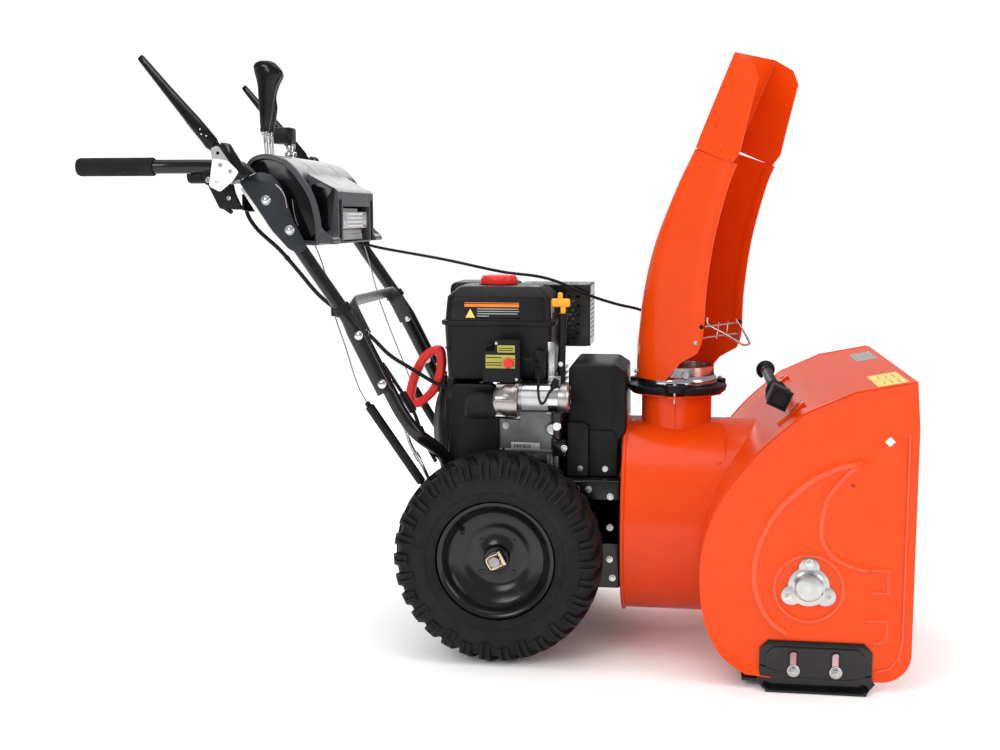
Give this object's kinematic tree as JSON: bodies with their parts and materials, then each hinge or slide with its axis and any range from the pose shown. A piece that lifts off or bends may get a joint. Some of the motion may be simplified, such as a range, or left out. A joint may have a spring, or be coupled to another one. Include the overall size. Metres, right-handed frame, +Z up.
{
  "type": "snow blower",
  "caption": "Two-stage walk-behind snow blower with a wide auger housing, tall turning chute, petrol engine, lugged wheels and long handles.",
  "frame": {"origin": "bottom centre of the bounding box, on the ground", "axes": "+X forward towards the auger, +Y the machine's left side, +Z up"},
  "size_m": [1.47, 0.654, 1.0905],
  "materials": {
    "orange_paint": "gloss",
    "black_paint": "satin",
    "black_plastic": "fine grain",
    "gloss_plastic": "gloss",
    "tyre_rubber": "matte",
    "soft_rubber": "matte",
    "zinc": "zinc plated",
    "aluminium": "cast",
    "steel": "machined",
    "red_plastic": "satin",
    "yellow_plastic": "satin"
  },
  "bodies": {
    "chassis": {"side_plate_right": "orange_paint", "side_plate_left": "orange_paint", "housing_wrap": "orange_paint", "impeller_drum": "orange_paint", "scraper_bar": "black_paint", "auger_gearbox": "black_paint", "tractor_frame": "black_paint", "lower_handle_right": "black_paint", "lower_handle_left": "black_paint", "upper_handle_right": "black_paint", "upper_handle_left": "black_paint", "handle_brace": "black_paint", "muffler_guard": "black_paint", "belt_cover": "black_plastic", "blower_housing": "black_plastic", "recoil_cover": "black_plastic", "fuel_tank": "black_plastic", "carburettor_cover": "black_plastic", "control_panel": "black_plastic", "cleanout_tool": "black_plastic", "chute_collar_ring": "black_plastic", "dashboard": "gloss_plastic", "grip_right": "soft_rubber", "grip_left": "soft_rubber", "auger_belt": "soft_rubber", "chute_cable": "soft_rubber", "wiring_loom": "soft_rubber", "bearing_flange_right": "zinc", "bearing_flange_left": "zinc", "lever_bracket_right": "zinc", "lever_bracket_left": "zinc", "starter_motor": "zinc", "crankcase": "aluminium"},
    "wheels": {"axle": "steel", "tyre_right": "tyre_rubber", "tyre_left": "tyre_rubber", "rim_right": "black_paint", "rim_left": "black_paint"},
    "hex_drive": {"hex_shaft": "steel"},
    "friction_drive": {"friction_wheel": "soft_rubber"},
    "disc": {"drive_disc": "aluminium"},
    "crank": {"crankshaft": "steel"},
    "impeller_group": {"impeller_shaft": "steel", "impeller": "orange_paint"},
    "auger_group": {"auger_shaft": "steel", "auger_flight_right": "orange_paint", "auger_flight_left": "orange_paint"},
    "shoe_right": {"skid_shoe_right": "black_paint"},
    "shoe_left": {"skid_shoe_left": "black_paint"},
    "chute_lower": {"chute": "orange_paint"},
    "chute_upper": {"chute_deflector": "orange_paint"},
    "pull_ring": {"recoil_handle": "red_plastic"},
    "tank_cap": {"fuel_cap": "red_plastic"},
    "oil_dipstick": {"dipstick": "yellow_plastic"},
    "stop_key": {"engine_key": "red_plastic"},
    "right_clutch": {"auger_lever": "black_paint"},
    "left_clutch": {"drive_lever": "black_paint"},
    "joystick": {"chute_joystick": "gloss_plastic"},
    "speed_selector": {"speed_lever": "gloss_plastic"},
    "knob": {"deflector_knob": "gloss_plastic"}
  },
  "joints": [
    {"name": "axle_spin", "type": "hinge", "parent": "chassis", "child": "wheels", "pos_m": [0.021, 0, 0.19], "axis": [0, 1, 0], "continuous": true},
    {"name": "hex_spin", "type": "hinge", "parent": "chassis", "child": "hex_drive", "pos_m": [0.0347, 0, 0.241], "axis": [0, 1, 0], "continuous": true},
    {"name": "friction_wheel_shift", "type": "slide", "parent": "hex_drive", "child": "friction_drive", "axis": [0, 1, 0], "range_m": [-0.03, 0.03]},
    {"name": "disc_spin", "type": "hinge", "parent": "chassis", "child": "disc", "pos_m": [0.075, 0, 0.222], "axis": [1, 0, 0], "continuous": true},
    {"name": "crank_spin", "type": "hinge", "parent": "chassis", "child": "crank", "pos_m": [0, 0, 0.395], "axis": [1, 0, 0], "continuous": true},
    {"name": "impeller_spin", "type": "hinge", "parent": "chassis", "child": "impeller_group", "pos_m": [0.3, 0, 0.232], "axis": [1, 0, 0], "continuous": true},
    {"name": "auger_spin", "type": "hinge", "parent": "chassis", "child": "auger_group", "pos_m": [0.563, 0, 0.181], "axis": [0, 1, 0], "continuous": true},
    {"name": "shoe_right_height", "type": "slide", "parent": "chassis", "child": "shoe_right", "axis": [0, 0, -1], "range_m": [0, 0.026]},
    {"name": "shoe_left_height", "type": "slide", "parent": "chassis", "child": "shoe_left", "axis": [0, 0, -1], "range_m": [0, 0.026]},
    {"name": "chute_rotate", "type": "hinge", "parent": "chassis", "child": "chute_lower", "pos_m": [0.335, 0, 0.4835], "axis": [0, 0, 1], "range_deg": [-70, 130]},
    {"name": "deflector_pitch", "type": "hinge", "parent": "chute_lower", "child": "chute_upper", "pos_m": [0.44412, -0.063, 0.912], "axis": [0.5, 0.866, 0], "range_deg": [0, 50]},
    {"name": "recoil_pull", "type": "slide", "parent": "chassis", "child": "pull_ring", "axis": [-0.98, 0, 0.199], "range_m": [0, 0.45], "stiffness_N_per_m": 20, "springref_m": -0.1},
    {"name": "fuel_cap_turn", "type": "hinge", "parent": "chassis", "child": "tank_cap", "pos_m": [-0.007, -0.03, 0.671], "axis": [0, 0, 1], "range_deg": [0, 90]},
    {"name": "dipstick_pull", "type": "slide", "parent": "chassis", "child": "oil_dipstick", "axis": [0.0247, -0.0329, 0.9992], "range_m": [0, 0.08]},
    {"name": "stop_key_pull", "type": "slide", "parent": "chassis", "child": "stop_key", "axis": [0, -1, 0], "range_m": [0, 0.01]},
    {"name": "auger_lever_press", "type": "hinge", "parent": "chassis", "child": "right_clutch", "pos_m": [-0.455, -0.27, 0.88], "axis": [0, -1, 0], "range_deg": [0, 36], "stiffness_Nm_per_rad": 3, "springref_deg": -17.19},
    {"name": "drive_lever_press", "type": "hinge", "parent": "chassis", "child": "left_clutch", "pos_m": [-0.455, 0.27, 0.88], "axis": [0, -1, 0], "range_deg": [0, 36], "stiffness_Nm_per_rad": 3, "springref_deg": -17.19},
    {"name": "joystick_tilt", "type": "hinge", "parent": "chassis", "child": "joystick", "pos_m": [-0.438, -0.084, 0.815], "axis": [0, 1, 0], "range_deg": [-12, 18]},
    {"name": "speed_lever_shift", "type": "hinge", "parent": "chassis", "child": "speed_selector", "pos_m": [-0.438, -0.052, 0.815], "axis": [0, 1, 0], "range_deg": [-12, 18]},
    {"name": "knob_turn", "type": "hinge", "parent": "chassis", "child": "knob", "pos_m": [-0.436, 0.05, 0.94], "axis": [0, 0, 1], "range_deg": [-45, 45]}
  ],
  "couplings": [
    {"joint": "hex_spin", "follows": "axle_spin", "ratio": -1.838},
    {"joint": "disc_spin", "follows": "crank_spin", "ratio": 1},
    {"joint": "auger_spin", "follows": "impeller_spin", "ratio": 0.1},
    {"joint": "friction_wheel_shift", "follows": "speed_lever_shift", "m_per_rad": 0.09}
  ]
}
